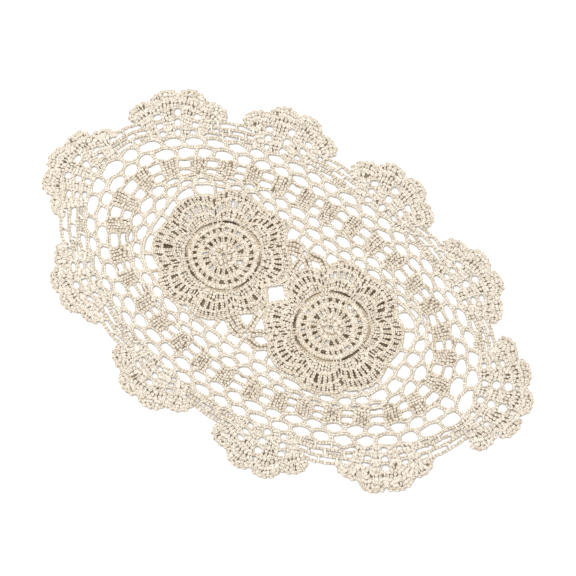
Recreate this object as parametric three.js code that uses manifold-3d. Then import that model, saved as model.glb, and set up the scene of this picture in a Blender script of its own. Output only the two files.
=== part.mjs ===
// Oval crochet placemat, worked in one piece from cream cotton yarn: two round medallions joined
// side by side, rounds of open net about both of them, a round of solid blocks, two more rounds of
// net, and an edging of ten fans whose shells make the scalloped outline.
// Millimetres, +Z up. The mat lies flat, its underside at z = 0, its length along X.
import * as THREE from 'three';
import { mergeVertices } from 'three/addons/utils/BufferGeometryUtils.js';
import Module from 'manifold-3d';

// Thickness of the crochet, and how far its dense parts stand above the open net.
const NET_THICKNESS = 2.2;
const BLOCK_RISE = 0.5;
const PETAL_RISE = 0.6;
const EYE_RISE = 0.8;
const CORE_RISE = 1.1;
const RISE_OVERLAP = 1;

// Yarn: the width of a crocheted chain and of the stitch that joins it to the round below, and how
// far a chain waves in and out between its joins.
const CHAIN_WIDTH = 2.9;
const JOIN_WIDTH = 3.2;
const CHAIN_WAVE = 1.2;
const COTTON = 0xddd4c4;

// Ovals that part the rounds, from the inside out, and the steps in which their length is measured.
const ROUNDS = {
  skirt: { halfLength: 117, halfWidth: 53.5, squareness: 4.2 },
  inner: { halfLength: 127.5, halfWidth: 61.5, squareness: 3.3 },
  blockFoot: { halfLength: 139.5, halfWidth: 70.5, squareness: 2.65 },
  blockWaist: { halfLength: 150.5, halfWidth: 78.7, squareness: 2.4 },
  blockHead: { halfLength: 160.5, halfWidth: 86.8, squareness: 2.25 },
  outer: { halfLength: 171.5, halfWidth: 95.4, squareness: 2.12 },
  fanFoot: { halfLength: 182, halfWidth: 104, squareness: 2.05 },
  valley: { halfLength: 198, halfWidth: 121, squareness: 2 },
};
const OVAL_DIVISIONS = 4000;

// Corners of a gap and of a block, as shares of half their length along the round and half their
// height across it.
const HEXAGON = [[1, 0], [0.55, 1], [-0.55, 1], [-1, 0], [-0.55, -1], [0.55, -1]];
const SQUARE = [[1, 1], [-1, 1], [-1, -1], [1, -1]];

// Rounds of net. Each lies between two ovals, and shift turns it by a part of one cell.
const NET_ROUNDS = [
  { from: 'skirt', to: 'inner', cells: 43, shift: 0 },
  { from: 'inner', to: 'blockFoot', cells: 43, shift: 0.5 },
  { from: 'blockHead', to: 'outer', cells: 52, shift: 0 },
  { from: 'outer', to: 'fanFoot', cells: 52, shift: 0.5 },
];

// Round of blocks, with two gaps one above the other between each block and the next.
const BLOCKS = 32;
const BLOCK_SHIFT = 0.35;
const BLOCK_WIDTH = 10.5;
const BLOCK_HEIGHT = 12.5;
const BLOCK_MARGIN = 0.8;
const BLOCK_GAP_ROUNDS = [
  { from: 'blockFoot', to: 'blockWaist' },
  { from: 'blockWaist', to: 'blockHead' },
];

// Medallions: an eye of dense rounds, then a ring of petals, two of which meet the other medallion.
const MEDALLION_X = 52.7;
const PETALS = 8;
const PETAL_TIP_RADIUS = 51.5;
const PETAL_NOTCH_RADIUS = 47.5;
const PETAL_STEPS = 5;
const PETAL_FOOT_RADIUS = 31.5;
const EYE_RADIUS = 28.5;
const CORE_RADIUS = 13;
const CIRCLE_SIDES = 24;
const CORE_SIDES = 12;

// Gaps beyond each medallion's outer end, by their angle from the mat's length.
const END_GAP_ANGLES = [-33, -11, 11, 33];
const END_GAP_RADIUS = 57.8;
const END_GAP = { halfLength: 5.6, halfHeight: 3 };

// Gaps between the medallions: the middle one, then those above and below the join.
const MIDDLE_GAPS = [
  { x: 0, y: -1, halfLength: 4.8, halfHeight: 8.5 },
  { x: -5, y: 29.5, halfLength: 4.2, halfHeight: 4.5 },
  { x: 10.5, y: 37.5, halfLength: 4.2, halfHeight: 3.2 },
  { x: -6.5, y: -31, halfLength: 4.6, halfHeight: 4 },
  { x: 5.5, y: -30, halfLength: 3.8, halfHeight: 4 },
];

// Fans of the edging, anticlockwise from +X. share is the fan's place along the oval at its foot,
// and reach runs from the fan's centre, which lies inside that oval, to its middle tips.
const FAN_CENTRE_DEPTH = 40;
const FANS = [
  { share: 0.024, shells: 5, reach: 88 },
  { share: 0.122, shells: 4, reach: 81 },
  { share: 0.223, shells: 4, reach: 83 },
  { share: 0.324, shells: 4, reach: 83 },
  { share: 0.416, shells: 4, reach: 80 },
  { share: 0.507, shells: 5, reach: 79 },
  { share: 0.604, shells: 4, reach: 75 },
  { share: 0.711, shells: 4, reach: 81 },
  { share: 0.818, shells: 4, reach: 85 },
  { share: 0.92, shells: 4, reach: 76 },
];
const SHELL_ANGLE = THREE.MathUtils.degToRad(17);
const SHELL_RADIUS = 12;
const SHELL_SAG = 2.8;
const SHELL_ARC = THREE.MathUtils.degToRad(58);
const FAN_FLANK_ARC = THREE.MathUtils.degToRad(80);
const SHELL_STEPS = 5;
const FAN_GAP_BELOW_TIP = 20;
const FAN_GAP = { halfLength: 3.1, halfHeight: 3.3 };
// Where the plain edge between two fans has its points, as shares of the way from one to the other.
const VALLEY_SHARES = [0.43, 0.57];

const wasm = await Module();
wasm.setup();

class Oval extends THREE.Curve {
  constructor({ halfLength, halfWidth, squareness }) {
    super();
    this.halfLength = halfLength;
    this.halfWidth = halfWidth;
    this.power = 2 / squareness;
    this.arcLengthDivisions = OVAL_DIVISIONS;
  }

  getPoint(t, target = new THREE.Vector2()) {
    const angle = 2 * Math.PI * t;
    const bend = (value) => Math.sign(value) * Math.abs(value) ** this.power;
    return target.set(this.halfLength * bend(Math.cos(angle)), this.halfWidth * bend(Math.sin(angle)));
  }

  // A point by its share of the way round, which may run past a whole turn.
  pointAtShare(share) {
    return this.getPointAt(THREE.MathUtils.euclideanModulo(share, 1));
  }
}

const OVALS = Object.fromEntries(Object.entries(ROUNDS).map(([name, size]) => [name, new Oval(size)]));

const polar = (radius, angle) => new THREE.Vector2(Math.cos(angle), Math.sin(angle)).multiplyScalar(radius);

// Points of a gap or block about a centre, with its length turned to the given angle.
function placed(corners, centre, angle, halfLength, halfHeight) {
  const origin = new THREE.Vector2();
  return corners.map(([along, across]) => new THREE.Vector2(along * halfLength, across * halfHeight)
    .rotateAround(origin, angle)
    .add(centre));
}

// The place between two ovals at a share of the way round, and the room that a cell has there.
function cellPlace(from, to, share, cells) {
  const half = 0.5 / cells;
  const start = OVALS[from].pointAtShare(share - half).add(OVALS[to].pointAtShare(share - half));
  const end = OVALS[from].pointAtShare(share + half).add(OVALS[to].pointAtShare(share + half));
  const low = OVALS[from].pointAtShare(share);
  const high = OVALS[to].pointAtShare(share);
  const along = end.sub(start).divideScalar(2);
  const across = high.clone().sub(low);
  return {
    centre: low.add(high).divideScalar(2),
    angle: along.angle(),
    pitch: along.length(),
    height: Math.abs(along.cross(across)) / along.length(),
  };
}

function netGaps() {
  return NET_ROUNDS.flatMap(({ from, to, cells, shift }) => Array.from({ length: cells }, (_, i) => {
    const place = cellPlace(from, to, (i + shift) / cells, cells);
    const halfLength = (place.pitch - JOIN_WIDTH) / 2;
    const halfHeight = (place.height - CHAIN_WIDTH) / 2 + CHAIN_WAVE;
    return placed(HEXAGON, place.centre, place.angle, halfLength, halfHeight);
  }));
}

function blockGaps() {
  return BLOCK_GAP_ROUNDS.flatMap(({ from, to }) => Array.from({ length: BLOCKS }, (_, i) => {
    const place = cellPlace(from, to, (i + BLOCK_SHIFT + 0.5) / BLOCKS, BLOCKS);
    const halfLength = (place.pitch - BLOCK_WIDTH) / 2 - BLOCK_MARGIN;
    const halfHeight = (place.height - CHAIN_WIDTH) / 2;
    return placed(HEXAGON, place.centre, place.angle, halfLength, halfHeight);
  }));
}

function blockOutlines() {
  return Array.from({ length: BLOCKS }, (_, i) => {
    const place = cellPlace('blockFoot', 'blockHead', (i + BLOCK_SHIFT) / BLOCKS, BLOCKS);
    return placed(SQUARE, place.centre, place.angle, BLOCK_WIDTH / 2, BLOCK_HEIGHT / 2);
  });
}

function endGaps() {
  return [0, Math.PI].flatMap((facing) => END_GAP_ANGLES.map((degrees) => {
    const angle = facing + THREE.MathUtils.degToRad(degrees);
    const centre = polar(END_GAP_RADIUS, angle).add(polar(MEDALLION_X, facing));
    return placed(HEXAGON, centre, angle + Math.PI / 2, END_GAP.halfLength, END_GAP.halfHeight);
  }));
}

function middleGaps() {
  return MIDDLE_GAPS.map(({ x, y, halfLength, halfHeight }) => (
    placed(HEXAGON, new THREE.Vector2(x, y), 0, halfLength, halfHeight)));
}

// A fan's centre, the way it faces, and its shells' angles and tips.
function fanFrame({ share, shells, reach }) {
  const foot = OVALS.fanFoot.pointAtShare(share);
  const along = OVALS.fanFoot.getTangentAt(share);
  const facing = along.angle() - Math.PI / 2;
  const centre = foot.sub(polar(FAN_CENTRE_DEPTH, facing));
  const rows = Array.from({ length: shells }, (_, i) => {
    const step = i - (shells - 1) / 2;
    return { angle: facing + step * SHELL_ANGLE, tip: reach - SHELL_SAG * step ** 2 };
  });
  return { centre, rows };
}

function fanGaps() {
  return FANS.flatMap((fan) => {
    const { centre, rows } = fanFrame(fan);
    return rows.slice(1).map((row, i) => {
      const angle = (row.angle + rows[i].angle) / 2;
      const radius = (row.tip + rows[i].tip) / 2 - FAN_GAP_BELOW_TIP;
      const place = polar(radius, angle).add(centre);
      return placed(HEXAGON, place, angle, FAN_GAP.halfLength, FAN_GAP.halfHeight);
    });
  });
}

// The scalloped edge, anticlockwise: an arc for each shell, then the plain edge to the next fan.
function outlinePoints() {
  return FANS.flatMap((fan, index) => {
    const { centre, rows } = fanFrame(fan);
    const last = rows.length - 1;
    const shells = rows.flatMap(({ angle, tip }, i) => {
      const middle = polar(tip - SHELL_RADIUS, angle).add(centre);
      const start = i === 0 ? -FAN_FLANK_ARC : -SHELL_ARC;
      const end = i === last ? FAN_FLANK_ARC : SHELL_ARC;
      return Array.from({ length: SHELL_STEPS + 1 }, (_, k) => {
        const turn = angle + THREE.MathUtils.lerp(start, end, k / SHELL_STEPS);
        return polar(SHELL_RADIUS, turn).add(middle);
      });
    });
    const next = FANS[(index + 1) % FANS.length].share;
    const way = THREE.MathUtils.euclideanModulo(next - fan.share, 1);
    const valley = VALLEY_SHARES.map((part) => OVALS.valley.pointAtShare(fan.share + part * way));
    return [...shells, ...valley];
  });
}

const circlePoints = (radius, sides) => (
  Array.from({ length: sides }, (_, i) => polar(radius, 2 * Math.PI * i / sides)));

function petalPoints() {
  return Array.from({ length: PETALS * PETAL_STEPS }, (_, i) => {
    const swell = Math.sqrt(Math.abs(Math.sin(Math.PI * i / PETAL_STEPS)));
    const radius = THREE.MathUtils.lerp(PETAL_NOTCH_RADIUS, PETAL_TIP_RADIUS, swell);
    return polar(radius, 2 * Math.PI * i / (PETALS * PETAL_STEPS));
  });
}

// A flat plate with gaps, its lower face at the given height.
function plate(outline, gaps, bottom, thickness) {
  const shape = new THREE.Shape(outline);
  shape.holes = gaps.map((points) => new THREE.Path(points));
  const geometry = new THREE.ExtrudeGeometry(shape, { depth: thickness, bevelEnabled: false });
  geometry.translate(0, 0, bottom);
  return geometry;
}

function toSolid(geometry) {
  geometry.deleteAttribute('normal');
  geometry.deleteAttribute('uv');
  const merged = mergeVertices(geometry);
  return new wasm.Manifold(new wasm.Mesh({
    numProp: 3,
    vertProperties: new Float32Array(merged.attributes.position.array),
    triVerts: new Uint32Array(merged.index.array),
  }));
}

function toGeometry(solid) {
  const mesh = solid.getMesh();
  const geometry = new THREE.BufferGeometry();
  geometry.setAttribute('position', new THREE.BufferAttribute(mesh.vertProperties, 3));
  geometry.setIndex(new THREE.BufferAttribute(mesh.triVerts, 1));
  geometry.computeVertexNormals();
  return geometry;
}

// A dense part that stands above the net, rooted a little way down in it.
function raised(outline, gaps, rise) {
  return plate(outline, gaps, NET_THICKNESS - RISE_OVERLAP, RISE_OVERLAP + rise);
}

function medallionRelief() {
  return [
    raised(petalPoints(), [circlePoints(PETAL_FOOT_RADIUS, CIRCLE_SIDES)], PETAL_RISE),
    raised(circlePoints(EYE_RADIUS, CIRCLE_SIDES), [], EYE_RISE),
    raised(circlePoints(CORE_RADIUS, CORE_SIDES), [], CORE_RISE),
  ];
}

function mat() {
  const gaps = [...netGaps(), ...blockGaps(), ...endGaps(), ...middleGaps(), ...fanGaps()];
  let solid = toSolid(plate(outlinePoints(), gaps, 0, NET_THICKNESS));
  for (const outline of blockOutlines()) {
    solid = solid.add(toSolid(raised(outline, [], BLOCK_RISE)));
  }
  for (const side of [-1, 1]) {
    for (const relief of medallionRelief()) {
      relief.translate(side * MEDALLION_X, 0, 0);
      solid = solid.add(toSolid(relief));
    }
  }
  const geometry = toGeometry(solid);
  geometry.computeBoundingBox();
  const middle = geometry.boundingBox.getCenter(new THREE.Vector3());
  return geometry.translate(-middle.x, -middle.y, 0);
}

const cotton = new THREE.MeshStandardMaterial({ color: COTTON, roughness: 0.95, metalness: 0 });
const placemat = new THREE.Mesh(mat(), cotton);
placemat.name = 'placemat';

const group = new THREE.Group();
group.add(placemat);

export default group;
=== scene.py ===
"""Oval crochet placemat in cream cotton, laid flat on a pale floor.

Every stitch is modelled. A chain is a row of paired yarn legs. A dense row is made of columns of plump
paired legs, with small gaps between them. Single legs run along the edge of each opening, and a tie is a
post of two twisted strands. Round strands lie behind the stitches, as the mat's ground, coloured in
painted shade that is darkest where they show through a deep gap.

The stitches are laid out on a chart in millimetres, +X along the mat and +Z up. Each group of rounds
becomes one joined mesh in metres.
"""
import math

import bpy
import numpy as np
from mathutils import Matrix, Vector


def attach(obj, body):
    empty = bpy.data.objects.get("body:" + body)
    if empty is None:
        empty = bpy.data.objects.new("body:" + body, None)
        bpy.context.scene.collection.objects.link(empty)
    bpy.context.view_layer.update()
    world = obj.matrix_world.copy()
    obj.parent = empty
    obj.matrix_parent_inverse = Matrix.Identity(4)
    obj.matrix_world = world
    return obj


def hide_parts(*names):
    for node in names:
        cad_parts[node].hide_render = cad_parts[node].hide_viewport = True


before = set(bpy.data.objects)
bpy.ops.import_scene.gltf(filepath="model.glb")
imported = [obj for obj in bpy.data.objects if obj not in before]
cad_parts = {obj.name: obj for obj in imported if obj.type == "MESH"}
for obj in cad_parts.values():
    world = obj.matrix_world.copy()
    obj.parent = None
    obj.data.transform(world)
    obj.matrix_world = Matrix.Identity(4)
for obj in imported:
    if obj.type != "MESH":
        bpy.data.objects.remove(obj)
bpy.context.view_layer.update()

MM = 0.001
SEED = 11
rng = np.random.default_rng(SEED)
# The middle of the mat on the chart, which is its own frame's origin.
MAT_MIDDLE = (2.525, 1.093)
# How far the whole fabric sways out of true, in waves along X and along Y. Of these, two slow ones have a
# length and a start each, and a quick one has a length across the sway and a length along it.
SWAY = 0.5
SWAY_X = ((17, 1.3), (29, 0.4), (9, 13))
SWAY_Y = ((19, 2.1), (23, 1.1), (10, -15))

# Ovals that part the rounds, from the inside out: reach to the right, left, top and bottom, then the
# squareness of each quarter, anticlockwise from the top right one. The fans stand on the last.
ROUNDS = {
    "skirt": ((119.0, 116.0, 52.5, 59.0), (4.2, 4.1, 3.3, 2.7)),
    "inner": ((131.0, 125.0, 60.5, 68.0), (3.15, 3.2, 3.0, 2.4)),
    "block_foot": ((142.0, 135.5, 70.0, 76.5), (2.4, 2.3, 2.2, 1.95)),
    "block_waist": ((152.0, 145.5, 79.0, 84.5), (2.25, 2.08, 2.0, 1.82)),
    "block_head": ((161.0, 156.3, 87.5, 92.0), (2.15, 2.0, 1.95, 1.78)),
    "outer": ((173.0, 166.5, 95.0, 100.5), (2.1, 2.1, 1.97, 1.76)),
    "fan_foot": ((185.0, 178.5, 103.5, 108.5), (2.03, 2.05, 1.87, 1.78)),
    "fan_line": ((182.0, 182.0, 104.0, 104.0), (2.05, 2.05, 2.05, 2.05)),
}
OVAL_DIVISIONS = 4000
TANGENT_STEP = 0.002
# An oval's reach in a direction is found between zero and this length, halved this many times.
FARTHEST = 400.0
HALVINGS = 24
# Spacing of the points along a round. A core takes one in every CORE_SKIP of them.
ROUND_STEP = 1.5
CORE_SKIP = 3
# Points along the shorter paths.
CELL_STEPS = 9
FLAT_STEPS = 7
FEW_STEPS = 4

# Yarn: twist of its streaks, painted shade at a leg's ends and low on its sides, and sides of a strand.
YARN_TWIST = 5.0
LEG_END_SHADE = 0.7
STACK_SHADE = 0.75
SIDE_SHADE_HEIGHT = 0.8
STREAK_SPREAD = 400.0
LEG_SIDES = 4
STRAND_SIDES = 6
END_CAPS = np.array([[0, 1, 2, 3], [0, 3, 4, 5]])
WOBBLE = 0.2
# The yarn's middle plane above the floor, and the heights of raised stitches above that plane.
MID_HEIGHT = 1.35
LOW_Z = 0.2
RAISED_Z = 0.3
HIGH_Z = 0.4
# The left leg of a stitch, from end to end: places along, across and up, and the yarn's radius. A chain's
# leg rises from under the stitch behind, bows out and dives again. A dense stitch is plump in the middle.
CHAIN_LEG = np.array([
    (-0.5, 0.14, -0.25, 0.28),
    (-0.16, 0.46, 0.32, 0.60),
    (0.18, 0.52, 0.32, 0.60),
    (0.5, 0.40, -0.35, 0.28),
])
STACK_LEG = np.array([
    (-0.5, 0.14, -0.08, 0.24),
    (-0.15, 0.48, 0.34, 0.59),
    (0.15, 0.48, 0.34, 0.59),
    (0.5, 0.14, -0.08, 0.24),
])

# Chains: length of a stitch and height of a leg for their half width, overlap, and how legs differ.
CHAIN_STRETCH = 2.2
CHAIN_RISE = 1.15
LEG_OVERLAP = 1.35
LEG_SWING = 0.07
LEG_SPREAD = 0.06
FINE_HALF = 1.25

# Columns of a dense row: spacing and overlap of their stitches, and how these differ.
STACK_PITCH = 3.0
STACK_OVERLAP = 1.22
STACK_STRAY = 0.2
STACK_RELIEF = 0.25
STACK_SPREAD = 0.1
STACK_MISSING = 0.04

# Posts: how their strands turn, their reach beyond foot and head, and their size.
POST_TURNS = 0.5
POST_RINGS = 5
POST_PHASES = [-0.5, -0.2, 0.2, 0.5]
POST_RADIUS = 0.52
POST_END_RADIUS = 0.42
POST_ACROSS = 0.52
POST_RISE = 0.38
POST_REACH = 1.06
POST_HEIGHT = 0.82
POST_SPREAD = 0.08
SHORTEST_POST = 1.8

# Strands of the ground, coloured in painted shade: the core of a chain, and those of a bed behind dense
# stitches.
CORE_SHARE = 0.6
CORE_STEP = 5.0
CORE_HALF_HEIGHT = 0.5
BED_DROP = -0.3
BED_SPACING = 1.9
BED_LEAST = 0.65
BED_HALF = 1.1
BED_STEPS = 48

# The stitches along the edge of an opening: half width, spacing, and how far corners are eased.
BORDER_HALF = 1.7
BORDER_PITCH = 2.4
BORDER_STEP = 1.0
BORDER_EASE = 5
NARROW_EASE = 3
BORDER_SPREAD = 0.07

# Rounds of net: the oval at their foot, the oval at their head, their turn in cells.
INNER_NET = [
    ("skirt", "inner", 0.0),
    ("inner", "block_foot", 0.5),
]
OUTER_NET = [
    ("block_head", "outer", 0.0),
    ("outer", "fan_foot", 0.5),
]
# How rounds swing over their cells: the oval whose rays they follow, number of swings, turn, reach.
SWINGS = {
    "skirt": ("inner", 43, 0.0, -0.6),
    "inner": ("inner", 43, 0.0, 1.1),
    "block_foot": ("inner", 43, 0.5, 1.1),
    "block_head": ("outer", 50, 0.0, -1.1),
    "outer": ("outer", 50, 0.0, 1.1),
    "fan_foot": ("outer", 50, 0.5, 1.1),
}
# The reach of the swings rises and falls along a round in a slow and a quick wave.
SLOW_SWING = 0.25
SLOW_WAVES = 7
QUICK_SWING = 0.2
QUICK_WAVES = 17
RAY_START = 25.0
NET_UNEVEN = 0.09
NET_CORE_HALF = 1.0
NET_SHADE = 0.45
KNOT_LENGTH = 4.2
KNOT_HEIGHT = 0.1
KNOT_SPREAD = 0.1

# Blocks: their number and turn, then the columns of one, its edges and the gaps beside it.
BLOCKS = 32
BLOCK_SHIFT = 0.35
BLOCK_STRAY = 0.03
BLOCK_COLUMNS = 5
BLOCK_SPACING = 2.55
BLOCK_HALF = 1.22
BLOCK_PITCH = 2.4
BLOCK_STAGGER = 0.25
BLOCK_PIVOT = 70.0
BLOCK_EDGE = 0.7
BLOCK_GAP_HALF = 1.3
BLOCK_SHADE = 0.64
WAIST_STEPS = 200

# Medallions: the middle of each, and radii from it.
MEDALLIONS = [(-52.0, -1.2), (54.7, -1.2)]
PETALS = 8
PETAL_TURN = 2 * math.pi / PETALS
# Petals of either medallion whose slits are open to the floor.
OPEN_PETALS = [(2, 3), (2,)]
EYE_CHAINS = [2.7, 10.9, 17.6, 20.5, 25.6, 28.0]
EYE_HALF = 1.0
EYE_STEPS = 120
EYE_HEIGHT = 0.6
EYE_LEAN = 0.1
EYE_SHADE = 0.6
# Rows of the eye: number of stitches, foot and head radius, kind, half width, painted shade of the gaps.
EYE_ROWS = [
    (12, 3.2, 7.0, "stack", 1.35, 0.0),
    (21, 7.0, 10.4, "stack", 1.35, 0.1),
    (20, 9.2, 19.6, "slit", 1.46, 0.95),
    (40, 17.6, 20.4, "stack", 1.45, 0.5),
    (27, 19.0, 27.4, "slit", 1.62, 0.95),
    (60, 25.4, 28.2, "stack", 1.4, 0.5),
]
# Slits: reach past a petal's row, unevenness of ends and widths, and the share open to the floor.
SLIT_REACH = 1.0
SLIT_UNEVEN = 0.1
SLIT_WIDTHS = (0.88, 1.1)
OPEN_SLITS = 0.18
# The groove between the eye and its petals: radii, painted shadow in waves, and ties at the petals'
# seams.
GROOVE = (28.9, 30.8)
GROOVE_SHADE = 0.45
GROOVE_FADING = 0.8
GROOVE_WAVES = 3
GROOVE_LEAST = 0.1
GROOVE_TIES = np.radians([-6.0, -1.0, 4.0])
TIE_STRAY = 0.02
# Petal rounds: radius in the notch and how much further out the middle of a petal lies.
PETAL_CHAINS = [(31.4, 0.6), (34.2, 6.4), (40.0, 9.0), (47.2, 6.2)]
PETAL_HALF = 1.1
PETAL_STEPS = 240
PETAL_BED_STEPS = 13
# Rows between those rounds, for one petal: number of stitches, kind, half width, painted shade of the
# gaps.
PETAL_ROWS = [
    (11, "stack", 1.24, 0.75),
    (8, "slit", 1.5, 0.93),
    (12, "stack", 1.42, 0.8),
]
PETAL_PITCH = 2.0
PETAL_PUFF = 0.9
PETAL_SWELL = 0.75
# How far a petal's slits draw together towards their feet, and its dense stitches from the seams.
PETAL_SPREAD = 0.9
RIM_SPREAD = 0.97
RIM_HALF = 1.45
RIM_HEIGHT = 0.5
RIM_SHADE = 0.3
RIM_BUMPS = 5
RIM_BUMP = 0.9
# The seam between two petals, a strand in painted shade: its foot and head radius, half width, height and
# shade.
SEAM = (33.0, 43.5)
SEAM_HALF = 0.7
SEAM_HEIGHT = 0.35
SEAM_SHADE = 0.9
# How far a stitch of a medallion strays, as a share of the step from one to the next.
STRAY = 0.11
# The petals reach further on the outer side of a medallion than towards the other one.
PETAL_LEAN = 4.5
# The two medallions draw back from each other here, which leaves a gap between them.
DENT_DEPTH = 5.5
DENT_WIDTH = math.radians(7)
DENT_Y_ANGLE = math.radians(-4)
DENT_START = 34.0

# Cords above the join of the medallions: points of each, from one end to the other.
VALLEY_CORDS = [
    [(-1.5, 42.6), (-7.0, 43.8), (-12.0, 42.4), (-17.5, 38.8), (-22.0, 38.5)],
    [(-2.2, 40.3), (-7.0, 40.2), (-12.0, 38.2), (-17.5, 35.4), (-20.0, 34.5)],
    [(-1.5, 37.8), (-4.0, 37.2), (-8.5, 35.6), (-13.0, 33.4), (-18.0, 31.0)],
    [(0.0, 34.6), (-3.0, 33.4), (-7.0, 32.8), (-11.5, 31.0), (-15.5, 28.0)],
    [(3.6, 42.6), (8.5, 43.0), (13.0, 44.0), (17.0, 43.4), (21.5, 40.4), (26.0, 37.5)],
    [(4.2, 39.6), (9.0, 38.9), (13.5, 40.0), (17.0, 39.0), (20.5, 36.6), (24.0, 35.0)],
    [(3.4, 36.6), (7.5, 35.8), (10.5, 33.0), (14.0, 31.4), (18.0, 30.6), (22.0, 31.4)],
    [(2.6, 33.8), (6.5, 31.8), (10.0, 29.4), (14.5, 28.6)],
    [(-0.6, 34.0), (-0.8, 28.0), (-1.4, 23.0), (0.0, 16.0)],
    [(2.2, 34.5), (2.6, 28.5), (2.2, 23.0), (1.8, 16.0)],
    [(-22.5, 41.0), (-22.5, 52.0)],
    [(-10.5, 43.5), (-10.5, 52.0)],
    [(2.0, 42.0), (3.0, 52.0)],
    [(16.0, 44.5), (16.0, 52.0)],
    [(27.0, 40.0), (27.5, 52.0)],
]
# Cords with a bed in painted shade between them, by their numbers in the list.
VALLEY_GAPS = [(0, 1), (1, 2), (2, 3), (4, 5), (6, 7), (8, 9)]
CORD_HALF = 1.4
VALLEY_SHADE = 0.75
CORD_STEPS = 8
VALLEY_RING = (1.1, 38.9)
RING_RADIUS = 3.1
RING_STEPS = 24
# The same cords lie below the join, mirrored in this line.
VALLEY_MIRROR_Y = -3.5
# Small eyelets where the petals meet above the gap, and cords where they meet below it.
JOIN_EYELETS = [(0.8, 12.6), (-3.0, 8.4), (5.8, 9.0), (6.0, 15.2), (-4.2, 14.6)]
EYELET_RADIUS = 2.0
EYELET_HALF = 1.0
JOIN_CORDS_Y = [-17.5, -20.5, -23.5, -26.5]
JOIN_CORD_X = (-7.0, 1.2, 9.4)
# The gap between the medallions: its corners, anticlockwise.
JOIN_GAP = [(12.2, -3.1), (1.9, 7.4), (-10.2, -4.4), (1.3, -16.4)]

# Directions of the cords that hold the first round to the petals, from each medallion's outer side.
SKIRT_CORDS = np.radians([-64, -48, -32, -16, 0, 16, 32, 48, 64])
SKIRT_FOOT = 0.5
SKIRT_ROOM = 4.0

# Fans of the edging: share of the way round their oval, number of shells, reach.
FANS = [
    (0.024, 5, 86.5),
    (0.119, 4, 80.5),
    (0.2195, 4, 82.5),
    (0.321, 4, 82.5),
    (0.416, 4, 80.5),
    (0.507, 5, 78.0),
    (0.607, 4, 75.0),
    (0.711, 4, 79.5),
    (0.818, 4, 81.5),
    (0.920, 4, 75.0),
]
FAN_CENTRE_DEPTH = 40.0
FAN_FLANK = math.radians(7)
FAN_ARC_STEPS = 25
FAN_SHADE = 0.86
# The edging's rounds lie at even steps from the last net round to this far outside the fans' oval.
EDGING_DEPTH = 15.2
LEVELS = 3
EDGING_HALF = 1.35
# Columns of a fan, level by level: stitches side by side, room between columns, radius of the holes.
COLUMN_STITCHES = [3, 4, 4]
COLUMN_HALF = 1.36
COLUMN_ROOM = [5.4, 6.4, 7.0]
ROOM_SPREAD = (0.8, 1.2)
FAN_HOLES = [4.2, 4.6, 4.9]
HOLE_SPREAD = (0.9, 1.08)
HOLE_HALF = 1.15
HOLE_HEIGHT = 0.25
HOLE_STEPS = 16
# Shells: their angle in a fan, how the outer ones sag, and the size and arcs of their edge.
SHELL_ANGLE = math.radians(17)
SHELL_SAG = 2.8
SHELL_RADIUS = 12.0
SHELL_DEPTH = 15.0
SHELL_SQUARE = 2.5
SHELL_FOOT = math.radians(7.6)
LOBE_ARC = math.radians(74)
FLANK_ARC = math.radians(80)
# Rows of a shell by their number of stitches, the chain between them, and the bumpy chain round it.
SHELL_ROWS = [6, 10]
SHELL_HALF = 1.4
SHELL_REACH = 0.95
SHELL_CHAIN_STEPS = 33
SHELL_CHAIN_SHADE = 0.5
SHELL_BED_REACH = 0.9
SHELL_RIM_ROOM = 1.7
SHELL_RIM_HALF = 1.375
SHELL_RIM_STEPS = 57
SHELL_BUMPS = 6
SHELL_BUMP = 2.0
# From one fan to the next: where a round passes, as shares of the way, then the ties and short cords. A
# cord has its level, and its start and end as shares of the way, counted from the middle.
BETWEEN_FANS = np.array([0.44, 0.5, 0.56])
TIES = 3
TIE_SPACING = 14.0
TIE_HALF = 1.6
FILL_CORDS = [(0.5, -0.22, -0.03), (1.5, 0.03, 0.2)]
FILL_HALF = 0.95
FILL_STRAY = 0.02

PIECES = (
    "medallion_left", "medallion_right", "net_inner", "block_round", "net_outer",
    "edging_rounds", "edging_columns", "edging_shells",
)
# Dense pieces get a deeper cream as painted shade. The rest is paler, painted light as the floor shines
# through it.
DENSE_PIECES = ("medallion_left", "medallion_right", "block_round")
# Colours of each yarn, from one end of its tones to the other. The ground's colours run into painted
# shadow.
YARN_IN_PAINTED_SHADE = ((0.67, 0.598, 0.482, 1), (0.9, 0.85, 0.76, 1))
YARN_IN_PAINTED_LIGHT = ((0.67, 0.61, 0.512, 1), (0.91, 0.87, 0.795, 1))
PAINTED_GAP_SHADE = ((0.595, 0.484, 0.345, 1), (0.052, 0.03, 0.0125, 1))
# Painted shade for the low sides and the ends of legs.
PAINTED_SHADE_TINT = (0.62, 0.505, 0.365, 1)
YARN_SHEEN = 0.15
FIBRE_SHADE = 0.3

FLOOR_Z = -0.0002
AZIMUTH = math.radians(35.1)
ELEVATION = math.radians(69.6)
CAMERA_DISTANCE = 2.4
FRAME_WIDTH = 0.4666
# Where the photo's frame centre lies from the mat's middle, to the right and up, in metres.
AIM_RIGHT = 0.0064
AIM_UP = 0.0019
LIGHT_PLACE = Vector((-0.4, 0.1, 1.9))


def unit(vectors):
    return vectors / np.linalg.norm(vectors, axis=-1, keepdims=True)


def around(steps):
    """Angles at even steps round a circle."""
    return np.arange(steps) * 2 * np.pi / steps


def heading(angle):
    return np.stack([np.cos(angle), np.sin(angle)], -1)


def polar(centre, angle, radius):
    """Points in the given directions from a centre."""
    return centre + heading(angle) * np.reshape(radius, (-1, 1))


def centred(number):
    """Even steps of one, with zero in their middle."""
    return np.arange(number) - (number - 1) / 2


def outward(tangent):
    """The right-hand side of a way, which is the outer one if it runs anticlockwise."""
    return np.stack([tangent[..., 1], -tangent[..., 0]], -1)


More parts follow.
